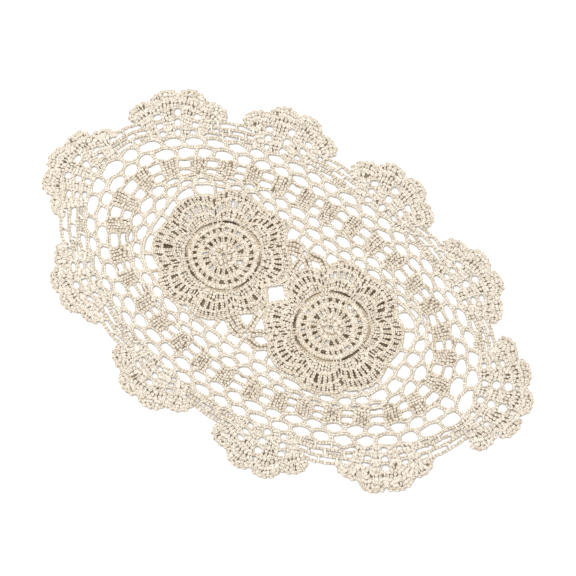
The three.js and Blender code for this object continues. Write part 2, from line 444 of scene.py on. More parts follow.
def lifted(path, height=0.0):
    """A chart path with a third column, its height above the plane at MID_HEIGHT."""
    path = np.asarray(path, float)
    height = np.broadcast_to(height, path.shape[:-1])
    return np.concatenate([path, height[..., None]], -1)


def run_along(path):
    """How far each point of a path lies along it."""
    steps = np.linalg.norm(np.diff(path, axis=0), axis=1)
    return np.concatenate([[0], np.cumsum(steps)])


def points_at(place, run, path):
    """Points of a path at the given distances along it."""
    return np.stack([np.interp(place, run, column) for column in path.T], -1)


def smoothed(path, window):
    """A closed path with its corners eased."""
    span = window // 2
    return sum(np.roll(path, shift, 0) for shift in range(-span, span + 1)) / window


def eased(points):
    """A smooth open curve through a few points."""
    ends = np.vstack([2 * points[:1] - points[1:2], points, 2 * points[-1:] - points[-2:-1]])
    part = np.linspace(0, 1, CORD_STEPS, endpoint=False)[:, None]
    runs = []
    for a, b, c, d in zip(ends, ends[1:], ends[2:], ends[3:]):
        bend = 2 * b + (c - a) * part + (2 * a - 5 * b + 4 * c - d) * part ** 2
        runs.append((bend + (3 * b - a - 3 * c + d) * part ** 3) / 2)
    return np.vstack(runs + [points[-1:]])


class Oval:
    """A squared oval whose points are found by their share of the way round, anticlockwise from +X."""

    def __init__(self, reach, squareness):
        self.reach = reach
        self.squareness = np.array(squareness)
        right, left, top, bottom = reach
        angle = np.linspace(0, 2 * np.pi, OVAL_DIVISIONS + 1)
        quarter = np.minimum(angle // (np.pi / 2), 3).astype(int)
        power = 2 / self.squareness[quarter]
        cos = np.cos(angle)
        sin = np.sin(angle)
        x = np.where(cos > 0, right, -left) * np.abs(cos) ** power
        y = np.where(sin > 0, top, -bottom) * np.abs(sin) ** power
        self.points = np.stack([x, y], -1)
        self.run = run_along(self.points)
        self.length = self.run[-1]

    def at(self, share):
        return points_at(np.mod(share, 1) * self.length, self.run, self.points)

    def tangent(self, share):
        return unit(self.at(share + TANGENT_STEP) - self.at(share - TANGENT_STEP))

    def holds(self, points):
        """Which of the given points lie inside the oval."""
        right, left, top, bottom = self.reach
        x, y = points[..., 0], points[..., 1]
        quarter = np.where(y >= 0, np.where(x >= 0, 0, 1), np.where(x >= 0, 3, 2))
        power = self.squareness[quarter]
        wide = np.where(x >= 0, right, left)
        high = np.where(y >= 0, top, bottom)
        return (np.abs(x) / wide) ** power + (np.abs(y) / high) ** power < 1


def reach_of(name, centre, angles):
    """How far an oval lies from points inside it, in each of the given directions, by halving steps."""
    way = heading(angles)
    near = np.zeros(np.shape(angles))
    far = np.full(np.shape(angles), FARTHEST)
    for _ in range(HALVINGS):
        middle = (near + far) / 2
        inside = OVALS[name].holds(centre + way * middle[..., None])
        near = np.where(inside, middle, near)
        far = np.where(inside, far, middle)
    return near


OVALS = {name: Oval(*size) for name, size in ROUNDS.items()}


class Template:
    """A closed stitch shape in unit space: x along the stitch, y to its left, z up."""

    def __init__(self, tubes, sides, end_shade=0.0, side_shade=1.0):
        points, quads, streaks = zip(*[tube(*shape, sides) for shape in tubes])
        self.points = np.concatenate(points)
        self.quads = np.concatenate([part + k * len(points[0]) for k, part in enumerate(quads)])
        self.streaks = np.concatenate(streaks)
        # Painted shade: a leg is darker low on its sides and towards its ends, where the yarn about it
        # shades it.
        low = side_shade * np.clip(1 - self.points[:, 2] / SIDE_SHADE_HEIGHT, 0, 1)
        self.painted_crease_shades = np.maximum(low, end_shade * np.abs(2 * self.points[:, 0]) ** 2)


def tube(centres, radii, twist, sides):
    """Points, outward quads and yarn coordinates of a closed tube along x."""
    angle = around(sides)
    circle = np.stack([np.zeros(sides), np.cos(angle), np.sin(angle)], -1)
    points = centres[:, None] + radii[:, None, None] * circle
    streaks = tube_streaks(centres[:, 0], angle, twist)
    return points.reshape(-1, 3), tube_quads(len(centres), sides, False), streaks


def tube_quads(rings, sides, closed):
    """Outward quads of a tube with four or six sides. It is a ring, or has a cap at both ends."""
    index = np.arange(rings * sides).reshape(rings, sides)
    after = np.roll(index, -1, axis=1)
    walls = np.stack([index, after, np.roll(after, -1, axis=0), np.roll(index, -1, axis=0)], -1)
    if closed:
        return walls.reshape(-1, 4)
    caps = END_CAPS[:sides // 2 - 1]
    return np.concatenate([walls[:-1].reshape(-1, 4), index[0][caps[:, ::-1]], index[-1][caps]])


def tube_streaks(run, angle, twist):
    """Yarn coordinates of a tube's points: how far along it they lie, and their turn about it."""
    turned = angle + twist * run[:, None]
    along = np.repeat(run[:, None], len(angle), 1)
    return np.stack([along, np.cos(turned), np.sin(turned)], -1).reshape(-1, 3)


def legs(rings, end_shade, side_shade):
    """The left and the right leg of a stitch."""
    pair = []
    for side in (1, -1):
        tubes = [(rings[:, :3] * (1, side, 1), rings[:, 3], side * YARN_TWIST)]
        pair.append(Template(tubes, LEG_SIDES, end_shade, side_shade))
    return pair


def post_shape(phase):
    """Two strands that twist about each other from the foot to the head of a post."""
    along = np.linspace(-0.5, 0.5, POST_RINGS)
    radii = np.full(POST_RINGS, POST_RADIUS)
    radii[[0, -1]] = POST_END_RADIUS
    strands = []
    for start in (phase, phase + np.pi):
        turn = start + 2 * np.pi * POST_TURNS * (along + 0.5)
        centres = np.stack([along, POST_ACROSS * np.cos(turn), POST_RISE * np.sin(turn)], -1)
        strands.append((centres, radii, YARN_TWIST))
    return Template(strands, STRAND_SIDES)


CHAIN_LEGS = legs(CHAIN_LEG, LEG_END_SHADE, 1.0)
STACK_LEGS = legs(STACK_LEG, 0.0, STACK_SHADE)
POST_SHAPES = [post_shape(phase) for phase in POST_PHASES]


class Fabric:
    """The stitches of one piece, gathered as arrays until its mesh is made."""

    def __init__(self, name):
        self.name = name
        self.parts = []
        self.count = 0

    def add(self, points, quads, tones_and_painted_shades, painted_crease_shades, streaks):
        self.parts.append((points, quads + self.count, tones_and_painted_shades, painted_crease_shades, streaks))
        self.count += len(points)

    def place(self, template, origin, along, across, up):
        """Copies of a template, each with its own origin and scaled axes, all arrays of (copies, 3)."""
        copies = len(origin)
        size = len(template.points)
        x, y, z = template.points.T
        points = (
            origin[:, None]
            + x[None, :, None] * along[:, None]
            + y[None, :, None] * across[:, None]
            + z[None, :, None] * up[:, None]
        )
        quads = template.quads[None] + (np.arange(copies) * size)[:, None, None]
        tones_and_painted_shades = np.repeat(rng.random(copies), size)
        streaks = np.repeat(template.streaks[None], copies, 0)
        lengths = np.linalg.norm(along, axis=1)
        starts = rng.random(copies) * STREAK_SPREAD
        streaks[..., 0] = streaks[..., 0] * lengths[:, None] + starts[:, None]
        painted_crease_shades = np.tile(template.painted_crease_shades, copies)
        self.add(points.reshape(-1, 3), quads.reshape(-1, 4), tones_and_painted_shades, painted_crease_shades, streaks.reshape(-1, 3))


ground = Fabric("mat_ground")


def axes(way):
    """Left and up for each of the given ways, which may climb a little."""
    flat = unit(np.stack([-way[:, 1], way[:, 0], np.zeros(len(way))], -1))
    return flat, unit(np.cross(way, flat))


def stitch_places(path, pitch, closed):
    """Places spaced evenly along a path, the way it runs at each, and their spacing."""
    line = np.vstack([path, path[:1]]) if closed else path
    run = run_along(line)
    count = max(1, round(run[-1] / pitch))
    spacing = run[-1] / count
    middle = (np.arange(count) + 0.5) * spacing

    def at(place):
        place = np.mod(place, run[-1]) if closed else np.clip(place, 0, run[-1])
        return points_at(place, run, line)

    way = unit(at(middle + spacing / 2) - at(middle - spacing / 2))
    return at(middle), way, spacing


def chain(fabric, path, half, closed=False, shade=0.0):
    """Chain stitches along a path, over a thin core that closes the chinks between their legs."""
    places, way, spacing = stitch_places(path, CHAIN_STRETCH * half, closed)
    count = len(places)
    left, up = axes(way)
    origin = places + left * rng.normal(0, WOBBLE, (count, 1))
    origin[:, 2] += MID_HEIGHT + rng.normal(0, WOBBLE / 2, count)
    for leg in CHAIN_LEGS:
        swing = rng.normal(0, LEG_SWING, (count, 1))
        size = 1 + rng.normal(0, LEG_SPREAD, (count, 1))
        along = unit(way + left * swing) * spacing * LEG_OVERLAP
        fabric.place(leg, origin, along, left * half * size, up * CHAIN_RISE * size)
    core, _, _ = stitch_places(path, CORE_STEP, closed)
    if len(core) > 1:
        strand(core, half * CORE_SHARE, closed, shade)


def border(fabric, outline, half=BORDER_HALF, height=0.0, ease=BORDER_EASE):
    """Single legs along the edge of an opening. They lie inside an outline that runs anticlockwise."""
    path, _, _ = stitch_places(lifted(outline, height), BORDER_STEP, True)
    places, way, spacing = stitch_places(smoothed(path, ease), BORDER_PITCH, True)
    count = len(places)
    left, up = axes(way)
    origin = places + left * rng.normal(0, WOBBLE / 2, (count, 1))
    origin[:, 2] += MID_HEIGHT + rng.normal(0, WOBBLE / 2, count)
    size = 1 + rng.normal(0, BORDER_SPREAD, (count, 1))
    along = way * spacing * LEG_OVERLAP
    fabric.place(CHAIN_LEGS[0], origin, along, left * half * size, up * CHAIN_RISE * size)


def knots(fabric, places, way):
    """A stitch on every crossing of the net."""
    count = len(places)
    origin = lifted(places, KNOT_HEIGHT)
    origin[:, 2] += MID_HEIGHT
    along = lifted(way * KNOT_LENGTH)
    left, up = axes(unit(along))
    for leg in CHAIN_LEGS:
        size = 1 + rng.normal(0, KNOT_SPREAD, (count, 1))
        fabric.place(leg, origin, along, left * BORDER_HALF * size, up * CHAIN_RISE * size)


def posts(fabric, feet, heads, half):
    """Ties of two strands, each from a foot to a head. Those that would be too short are left out."""
    long_enough = np.linalg.norm(heads - feet, axis=1) > SHORTEST_POST
    choice = rng.integers(len(POST_SHAPES), size=len(feet))
    for number, shape in enumerate(POST_SHAPES):
        chosen = long_enough & (choice == number)
        upright(fabric, shape, feet[chosen], heads[chosen], half)


def upright(fabric, shape, feet, heads, half):
    """Copies of a post, each a little out of line with its foot and head."""
    count = len(feet)
    along = heads - feet
    left, up = axes(unit(along))
    origin = (feet + heads) / 2 + left * rng.normal(0, WOBBLE, (count, 1))
    origin[:, 2] += MID_HEIGHT
    along = along * POST_REACH + left * rng.normal(0, WOBBLE, (count, 1))
    size = half * (1 + rng.normal(0, POST_SPREAD, (count, 1)))
    fabric.place(shape, origin, along, left * size, up * half * POST_HEIGHT)


def stacks(fabric, feet, heads, half, pitch=STACK_PITCH, stagger=0.0):
    """Columns of stitches side by side, from feet to heads. Every other one may be staggered."""
    count = len(feet)
    length = np.linalg.norm(heads - feet, axis=1).mean()
    number = max(1, round(length / pitch))
    along = (heads - feet) / number
    left, up = axes(unit(along))
    start = rng.normal(0, STACK_STRAY, (count, 1))
    start = start + stagger * (-1) ** np.arange(count)[:, None]
    for k in range(number):
        origin = feet + along * (k + 0.5 + start) + left * rng.normal(0, WOBBLE, (count, 1))
        origin[:, 2] += MID_HEIGHT + rng.uniform(-STACK_RELIEF, STACK_RELIEF, count)
        for leg in STACK_LEGS:
            size = 1 + rng.normal(0, STACK_SPREAD, (count, 1))
            kept = rng.random(count) > STACK_MISSING
            scaled = [along * STACK_OVERLAP, left * half * size, up * CHAIN_RISE * size]
            fabric.place(leg, origin[kept], *[axis[kept] for axis in scaled])


def strand(path, half_width, closed=False, shade=0.0):
    """A soft strand of the ground along a path, in painted shade. Shade 0 is yarn seen close, 1 the
    painted shadow of a deep gap.
    """
    path = np.asarray(path, float)
    following = np.roll(path, -1, 0)
    before = np.roll(path, 1, 0)
    if not closed:
        following[-1] = 2 * path[-1] - path[-2]
        before[0] = 2 * path[0] - path[1]
    left, up = axes(unit(following - before))
    angle = around(STRAND_SIDES)
    middle = path + [0, 0, MID_HEIGHT]
    points = (
        middle[:, None]
        + left[:, None] * (half_width * np.cos(angle))[None, :, None]
        + up[:, None] * (CORE_HALF_HEIGHT * np.sin(angle))[None, :, None]
    )
    quads = tube_quads(len(path), STRAND_SIDES, closed)
    streaks = tube_streaks(run_along(path) + rng.random() * STREAK_SPREAD, angle, 1.0)
    shades = np.repeat(np.broadcast_to(shade, len(path)), STRAND_SIDES)
    ground.add(points.reshape(-1, 3), quads, shades, np.zeros(len(shades)), streaks)


def bed(low, high, shade, closed=False):
    """Strands from one edge path to another, behind the stitches of a dense row, whose gaps their painted
    shade darkens.
    """
    count = max(1, round(np.linalg.norm(high - low, axis=1).max() / BED_SPACING))
    for part in (np.arange(count) + 0.5) / count:
        uneven = shade * rng.uniform(BED_LEAST, 1.0, len(low))
        strand(low + (high - low) * part, BED_HALF, closed, uneven)


def low_bed(low, high, shade):
    """A bed between two open chart paths, dropped behind the stitches."""
    bed(lifted(low, BED_DROP), lifted(high, BED_DROP), shade)


def on_round(name, share):
    """Points of a round, where rays that stand square on its net's own oval meet it."""
    key, swings, offset, reach = SWINGS[name]
    oval = OVALS[key]
    out = outward(oval.tangent(share))
    pivot = oval.at(share) - out * RAY_START
    radius = reach_of(name, pivot, np.arctan2(out[:, 1], out[:, 0]))
    turn = share * 2 * np.pi
    slow = SLOW_SWING * np.sin(turn * SLOW_WAVES + swings)
    quick = QUICK_SWING * np.sin(turn * QUICK_WAVES)
    radius += reach * (1 + slow + quick) * np.cos(2 * np.pi * (share * swings - offset))
    return pivot + out * radius[:, None]


def round_path(name):
    """The whole of a round, anticlockwise."""
    count = round(OVALS[name].length / ROUND_STEP)
    return on_round(name, np.arange(count) / count)


def round_core(path, shade=0.0):
    """A strand of the ground along a whole round."""
    strand(lifted(path[::CORE_SKIP]), NET_CORE_HALF, True, shade)


def net(fabric, rounds):
    """Rounds of net: each cell is edged with stitches, over cores along its chains and sides."""
    for foot, head, turn in rounds:
        key, cells, _, _ = SWINGS[head]
        shares = (np.arange(cells) + turn + 0.5) / cells
        low = shares + rng.normal(0, NET_UNEVEN, cells) / cells
        high = shares + rng.normal(0, NET_UNEVEN, cells) / cells
        following = [np.append(side[1:], side[0] + 1) for side in (low, high)]
        for a, b, c, d in zip(low, high, *following):
            bottom = on_round(foot, np.linspace(c, a, CELL_STEPS))
            top = on_round(head, np.linspace(b, d, CELL_STEPS))
            border(fabric, np.vstack([bottom, top]))
        round_core(round_path(head), NET_SHADE)
        feet = on_round(foot, low)
        heads = on_round(head, high)
        for pair in zip(feet, heads):
            strand(lifted(pair), NET_CORE_HALF, shade=NET_SHADE)
        knots(fabric, feet, OVALS[key].tangent(low))
        knots(fabric, heads, OVALS[key].tangent(high))


def block_round(fabric):
    """Solid blocks of stitches in two storeys, with an edged gap between each and the next."""
    waist = OVALS["block_waist"]
    strand(lifted(waist.at(np.arange(WAIST_STEPS) / WAIST_STEPS)), NET_CORE_HALF, True, NET_SHADE)
    round_core(round_path("block_head"), NET_SHADE)
    offsets = centred(BLOCK_COLUMNS) * BLOCK_SPACING
    edges = np.array([offsets[0] - BLOCK_EDGE, offsets[-1] + BLOCK_EDGE])
    sides = []
    for block in range(BLOCKS):
        share = (block + BLOCK_SHIFT + rng.normal(0, BLOCK_STRAY)) / BLOCKS
        out = outward(waist.tangent(share))
        pivot = waist.at(share) - out * BLOCK_PIVOT
        facing = math.atan2(out[1], out[0])
        levels = block_levels(pivot, facing + offsets / BLOCK_PIVOT)
        sides.append(block_levels(pivot, facing + edges / BLOCK_PIVOT))
        for low, high in zip(levels, levels[1:]):
            feet = lifted(low, LOW_Z)
            heads = lifted(high, HIGH_Z)
            stacks(fabric, feet, heads, BLOCK_HALF, BLOCK_PITCH, BLOCK_STAGGER)
            low_bed(low, high, BLOCK_SHADE)
    for near, far in zip(sides, sides[1:] + sides[:1]):
        for low in (0, 1):
            high = low + 1
            outline = [far[low][0], near[low][1], near[high][1], far[high][0]]
            border(fabric, np.array(outline), BLOCK_GAP_HALF)


def block_levels(pivot, angle):
    """Points at the foot, the waist and the head of a block, in the given directions."""
    return [
        polar(pivot, angle, reach_of(name, pivot, angle))
        for name in ("block_foot", "block_waist", "block_head")
    ]


def ring_path(centre, radius, height, steps):
    """A ring about a point. Its radius may differ from step to step."""
    return lifted(polar(centre, around(steps), radius), height)


def ring_bed(centre, foot, head, shade):
    low = ring_path(centre, foot, BED_DROP, BED_STEPS)
    bed(low, ring_path(centre, head, BED_DROP, BED_STEPS), shade, True)


def petal_radius(notch, swell, angle, facing):
    """Radius of a petal round, drawn in where the other medallion lies."""
    off = np.mod(angle - facing + np.pi, 2 * np.pi) - np.pi
    share = np.clip((notch - DENT_START) / (PETAL_CHAINS[-1][0] - DENT_START), 0, 1)
    dent = DENT_DEPTH * np.exp(-(off / DENT_WIDTH) ** 2) - PETAL_LEAN * (1 - np.cos(off)) / 2
    return notch + swell * np.abs(np.sin(angle * PETALS / 2)) ** PETAL_SWELL - share * dent


def petal_puff(angle):
    """How far a petal stands up, most in its middle."""
    return PETAL_PUFF * np.abs(np.sin(angle * PETALS / 2))


def medallion(fabric, centre, facing, open_petals):
    """An eye of dense rounds inside a ring of petals."""
    start = rng.random() * 2 * np.pi
    for radius in EYE_CHAINS:
        path = ring_path(centre, radius, EYE_HEIGHT, EYE_STEPS)
        chain(fabric, path, EYE_HALF, True, EYE_SHADE)
    for number, foot, head, kind, half, shade in EYE_ROWS:
        step = 2 * np.pi / number
        angle = start + (np.arange(number) + rng.normal(0, STRAY, number)) * step
        lean = rng.normal(EYE_LEAN, STRAY, number) * step
        feet = polar(centre, angle - lean, foot)
        heads = polar(centre, angle + lean, head)
        if kind == "slit":
            slits(fabric, lifted(feet, RAISED_Z), lifted(heads, RAISED_Z), half)
            slit_beds(centre, angle, foot, head, shade)
        else:
            stacks(fabric, lifted(feet, EYE_HEIGHT), lifted(heads, EYE_HEIGHT), half)
            ring_bed(centre, foot, head, shade)
        start += step / 2
    groove(fabric, centre, start)
    petal_rounds(fabric, centre, facing)
    petal_rows(fabric, centre, facing, open_petals)


def slits(fabric, feet, heads, half, closed=True):
    """Narrow openings side by side, each edged with stitches, from a row of feet to their heads."""
    count = len(feet) if closed else len(feet) - 1
    for k in range(count):
        following = (k + 1) % len(feet)
        low, high = rng.uniform(0, SLIT_UNEVEN, 2)
        side, other = heads[k] - feet[k], heads[following] - feet[following]
        outline = np.array([
            feet[following] + other * low,
            feet[k] + side * low,
            heads[k] - side * high,
            heads[following] - other * high,
        ])
        width = half * rng.uniform(*SLIT_WIDTHS)
        border(fabric, outline[:, :2], width, outline[:, 2], NARROW_EASE)


def slit_beds(centre, angle, foot, head, shade):
    """Beds behind the slits of a ring, one by one. Some slits have none and show the floor."""
    for near, far in zip(angle, np.append(angle[1:], angle[0] + 2 * np.pi)):
        if rng.random() < OPEN_SLITS:
            continue
        turn = np.linspace(near, far, FEW_STEPS)
        low_bed(polar(centre, turn, foot), polar(centre, turn, head), shade)


def groove(fabric, centre, start):
    """The groove about the eye, with a bed of uneven painted shadow and ties across it."""
    waves = np.sin(GROOVE_WAVES * around(BED_STEPS) + start)
    fading = np.clip(GROOVE_SHADE + GROOVE_FADING * waves, GROOVE_LEAST, 1)
    ring_bed(centre, *GROOVE, fading)
    turn = (around(PETALS)[:, None] + GROOVE_TIES).ravel()
    turn = turn + rng.normal(0, TIE_STRAY, len(turn))
    feet = lifted(polar(centre, turn, EYE_CHAINS[-1]), HIGH_Z)
    heads = lifted(polar(centre, turn, PETAL_CHAINS[0][0]), HIGH_Z)
    posts(fabric, feet, heads, EYE_HALF)


def petal_rounds(fabric, centre, facing):
    """Rounds that rise and fall with the petals, a bumpy rim, and strands of painted shade in the seams
    between petals.
    """
    angle = around(PETAL_STEPS)
    for notch, swell in PETAL_CHAINS[:-1]:
        radius = petal_radius(notch, swell, angle, facing)
        path = ring_path(centre, radius, LOW_Z + petal_puff(angle), PETAL_STEPS)
        chain(fabric, path, PETAL_HALF, True, EYE_SHADE)
    bump = RIM_BUMP * np.abs(np.sin(angle * PETALS * RIM_BUMPS / 2))
    radius = petal_radius(*PETAL_CHAINS[-1], angle, facing) + bump
    chain(fabric, ring_path(centre, radius, RIM_HEIGHT, PETAL_STEPS), RIM_HALF, True, RIM_SHADE)
    for turn in np.arange(PETALS) * PETAL_TURN:
        seam = polar(centre, turn, np.linspace(*SEAM, FEW_STEPS))
        strand(lifted(seam, SEAM_HEIGHT), SEAM_HALF, shade=SEAM_SHADE)


def petal_rows(fabric, centre, facing, open_petals):
    """Rows of stitches between the petal rounds: dense ones, and slits between them."""

    def at(chain_round, turn, extra=0.0):
        return polar(centre, turn, petal_radius(*chain_round, turn, facing) + extra)

    for low, high, (number, kind, half, shade) in zip(PETAL_CHAINS, PETAL_CHAINS[1:], PETAL_ROWS):
        slit = kind == "slit"
        foot_spread = PETAL_SPREAD if slit else RIM_SPREAD
        head_spread = 1.0 if slit else RIM_SPREAD
        extra = SLIT_REACH if slit else 0.0
        for petal in range(PETALS):
            across = np.arange(number + 1) if slit else np.arange(number) + 0.5
            across = across / number - 0.5
            across[1:-1] += rng.normal(0, STRAY, len(across) - 2) / number
            foot_turn = (petal + 0.5 + across * foot_spread) * PETAL_TURN
            head_turn = (petal + 0.5 + across * head_spread) * PETAL_TURN
            height = LOW_Z + petal_puff(head_turn)
            feet = lifted(at(low, foot_turn, -extra), height)
            heads = lifted(at(high, head_turn, extra), height)
            if slit:
                slits(fabric, feet, heads, half, closed=False)
            else:
                stacks(fabric, feet, heads, half, PETAL_PITCH)
            if slit and petal in open_petals:
                continue
            turn = (petal + np.linspace(0, 1, PETAL_BED_STEPS)) * PETAL_TURN
            low_bed(at(low, turn), at(high, turn), shade)


def valleys(fabric):
    """Cords and a small ring in each of the two valleys between the medallions."""
    ring = polar(VALLEY_RING, around(RING_STEPS), RING_RADIUS)
    for flip, shift in ((1, 0.0), (-1, 2 * VALLEY_MIRROR_Y)):
        cords = [lifted(eased(np.array(cord)) * (1, flip) + (0, shift)) for cord in VALLEY_CORDS]
        for cord in cords:
            chain(fabric, cord, CORD_HALF)
        placed = lifted(ring * (1, flip) + (0, shift), HIGH_Z)
        chain(fabric, placed, FINE_HALF, True)
        for low, high in VALLEY_GAPS:
            length = min(len(cords[low]), len(cords[high]))
            bed(cords[low][:length], cords[high][:length], VALLEY_SHADE)


def join(fabric):
    """Eyelets, the edged gap and cords where the two medallions meet."""
    for eyelet in JOIN_EYELETS:
        chain(fabric, ring_path(eyelet, EYELET_RADIUS, RAISED_Z, RING_STEPS), EYELET_HALF, True)
    gap = np.array(JOIN_GAP)
    border(fabric, gap, height=HIGH_Z, ease=NARROW_EASE)
    border(fabric, gap[::-1], height=RAISED_Z, ease=NARROW_EASE)
    cords = [lifted([(x, y) for x in JOIN_CORD_X]) for y in JOIN_CORDS_Y]
    for cord in cords:
        chain(fabric, cord, FINE_HALF)
    bed(cords[0], cords[-1], VALLEY_SHADE)


def skirt(fabric):
    """The first round about both medallions, and the cells that hold it to their petals."""
    ring = round_path("skirt")
    border(fabric, ring)
    round_core(ring)
    for centre, away in zip(np.array(MEDALLIONS), (np.pi, 0.0)):

        def rim(angle):
            radius = petal_radius(*PETAL_CHAINS[-1], angle, away + np.pi) + SKIRT_FOOT
            return polar(centre, angle, radius)

        def edge(angle):
            return polar(centre, angle, reach_of("skirt", centre, angle))

        angles = away + SKIRT_CORDS
        room = np.linalg.norm(edge(angles) - rim(angles), axis=1)
        for k in np.nonzero(np.minimum(room[1:], room[:-1]) > SKIRT_ROOM)[0]:
            bottom = rim(np.linspace(angles[k + 1], angles[k], FLAT_STEPS))
            top = edge(np.linspace(angles[k], angles[k + 1], FLAT_STEPS))
            border(fabric, np.vstack([bottom, top]))
        for pair in zip(rim(angles), edge(angles)):
            strand(lifted(pair), NET_CORE_HALF)


class Fan:
    """One fan of the edging: its centre, the way it faces, and its shells' angles and tips."""

    def __init__(self, share, shells, reach):
        oval = OVALS["fan_line"]
        out = outward(oval.tangent(share))
        self.share = share
        self.reach = reach
        self.facing = math.atan2(out[1], out[0])
        self.centre = oval.at(share) - out * FAN_CENTRE_DEPTH
        self.steps = centred(shells)
        self.angles = self.facing + self.steps * SHELL_ANGLE
        self.tips = reach - SHELL_SAG * self.steps ** 2

    def radius(self, level, angle):
        """Radius of an edging round in this fan. The rounds spread apart towards the fan's middle."""
        low = reach_of("fan_foot", self.centre, angle)
        top = self.reach - SHELL_DEPTH - SHELL_SAG * ((angle - self.facing) / SHELL_ANGLE) ** 2
        top = np.maximum(top, reach_of("fan_line", self.centre, angle) + EDGING_DEPTH)
        return low + (top - low) * level / LEVELS

    def point(self, level, angle):
        return polar(self.centre, angle, self.radius(level, angle))

    def arc(self, level):
        half = (len(self.steps) - 1) / 2 * SHELL_ANGLE + FAN_FLANK
        angle = self.facing + np.linspace(-half, half, FAN_ARC_STEPS)
        return self.point(level, angle)


def between_fans(share, level):
    """Points of an edging round in a valley, by their share of the way round the fans' oval."""
    line = OVALS["fan_line"]
    top = line.at(share) + outward(line.tangent(share)) * EDGING_DEPTH
    turn = np.arctan2(top[:, 1], top[:, 0])
    low = polar(np.zeros(2), turn, reach_of("fan_foot", np.zeros(2), turn))
    return low + (top - low) * level / LEVELS


def neighbours(fans):
    """Every fan, with the share of the way round from it to the next one."""
    for fan, following in zip(fans, fans[1:] + fans[:1]):
        yield fan, np.mod(following.share - fan.share, 1)


def edging_round(fans, level):
    """One round of the edging: an arc in each fan and a straighter run to the next."""
    runs = []
    for fan, gap in neighbours(fans):
        runs += [fan.arc(level), between_fans(fan.share + gap * BETWEEN_FANS, level)]
    places, _, _ = stitch_places(lifted(np.concatenate(runs)), ROUND_STEP, True)
    return smoothed(places, BORDER_EASE)


def edging_rounds(fabric, fans):
    """Rounds of chain outside the net, with ties and short cords between them in the valleys."""
    border(fabric, round_path("fan_foot")[::-1])
    for level in range(1, LEVELS + 1):
        chain(fabric, edging_round(fans, level), EDGING_HALF, True, NET_SHADE)
    for fan, gap in neighbours(fans):
        ties(fabric, fan.share + gap / 2)
        fill(fabric, fan.share, gap)


def ties(fabric, middle):
    """Ties between the rounds of the valley about a share of the way round."""
    for level in range(LEVELS):
        offsets = (centred(TIES) + (level % 2) * 0.5) * TIE_SPACING
        share = middle + offsets / OVALS["fan_line"].length
        feet = between_fans(share, level)
        heads = between_fans(share, level + 1)
        posts(fabric, lifted(feet), lifted(heads), TIE_HALF)


def fill(fabric, share, gap):
    """Short cords between the rounds of the valley that starts at a share of the way round."""
    for level, start, end in FILL_CORDS:
        stray = rng.normal(0, FILL_STRAY, 2)
        part = np.linspace(start + stray[0], end + stray[1], CELL_STEPS)
        path = between_fans(share + gap * (0.5 + part), level)
        chain(fabric, lifted(path), FILL_HALF, shade=NET_SHADE)


def columns(fabric, fans):
    """Columns of dense stitches between the edging rounds, with a hole between one and the next."""
    for fan in fans:
        for angle in fan.angles:
            for level, number in enumerate(COLUMN_STITCHES):
                middle = fan.radius(level + 0.5, angle[None])[0]
                width = middle * SHELL_ANGLE - COLUMN_ROOM[level] * rng.uniform(*ROOM_SPREAD)
                turn = angle + centred(number) * width / number / middle
                low = fan.point(level, turn)
                high = fan.point(level + 1, turn)
                stacks(fabric, lifted(low, LOW_Z), lifted(high, LOW_Z), COLUMN_HALF)
                low_bed(low, high, FAN_SHADE)
        for angle in (fan.angles[1:] + fan.angles[:-1]) / 2:
            for level, radius in enumerate(FAN_HOLES):
                hole(fabric, fan, angle, level, radius)


def hole(fabric, fan, angle, level, radius):
    """A round opening between two columns, edged with stitches."""
    middle = fan.point(level + 0.5, angle[None])[0]
    radius = radius * rng.uniform(*HOLE_SPREAD)
    rise = np.diff(fan.radius(np.array([level, level + 1]), np.repeat(angle, 2)))[0] / 2
    turn = around(HOLE_STEPS)[:, None]
    out = heading(angle)
    side = np.array([-out[1], out[0]])
    outline = middle + out * np.cos(turn) * rise + side * np.sin(turn) * radius
    border(fabric, outline, HOLE_HALF, HOLE_HEIGHT)


def shells(fabric, fans):
    """The scalloped edge of every fan. Its first and last shell reach further round."""
    for fan in fans:
        last = len(fan.angles) - 1
        for i, (angle, tip) in enumerate(zip(fan.angles, fan.tips)):
            start = -FLANK_ARC if i == 0 else -LOBE_ARC
            end = FLANK_ARC if i == last else LOBE_ARC
            shell(fabric, fan, angle, tip, start, end)


def shell(fabric, fan, angle, tip, start, end):
    """Rows of dense stitches that fan out under a bumpy chain."""
    middle = fan.centre + heading(angle) * (tip - SHELL_RADIUS)

    def lobe(part, across, bump=0.0):
        """A point of the shell: part 0 at its foot to 1 under its rim, across from -1 to 1."""
        foot = fan.point(LEVELS, angle + across * SHELL_FOOT)
        turn = np.where(across < 0, -across * start, across * end)
        square = np.abs(np.cos(turn)) ** SHELL_SQUARE + np.abs(np.sin(turn)) ** SHELL_SQUARE
        radius = SHELL_RADIUS * square ** (-1 / SHELL_SQUARE) - SHELL_RIM_ROOM + bump
        return foot * (1 - part) + polar(middle, angle + turn, radius) * part

    rows = np.linspace(0, 1, len(SHELL_ROWS) + 1)
    for low, high, number in zip(rows, rows[1:], SHELL_ROWS):
        across = centred(number) * 2 / number
        feet = lifted(lobe(low, across), LOW_Z)
        stacks(fabric, feet, lifted(lobe(high, across), LOW_Z), SHELL_HALF)
    across = np.linspace(-1, 1, SHELL_CHAIN_STEPS) * SHELL_REACH
    chain(fabric, lifted(lobe(rows[1], across)), FINE_HALF, shade=SHELL_CHAIN_SHADE)
    across = np.linspace(-SHELL_BED_REACH, SHELL_BED_REACH, FLAT_STEPS)
    for low, high in zip(rows, rows[1:]):
        low_bed(lobe(low, across), lobe(high, across), FAN_SHADE)
    across = np.linspace(-1, 1, SHELL_RIM_STEPS)
    bump = SHELL_BUMP * np.abs(np.sin((across + 1) / 2 * np.pi * SHELL_BUMPS))
    chain(fabric, lifted(lobe(1.0, across, bump)), SHELL_RIM_HALF)


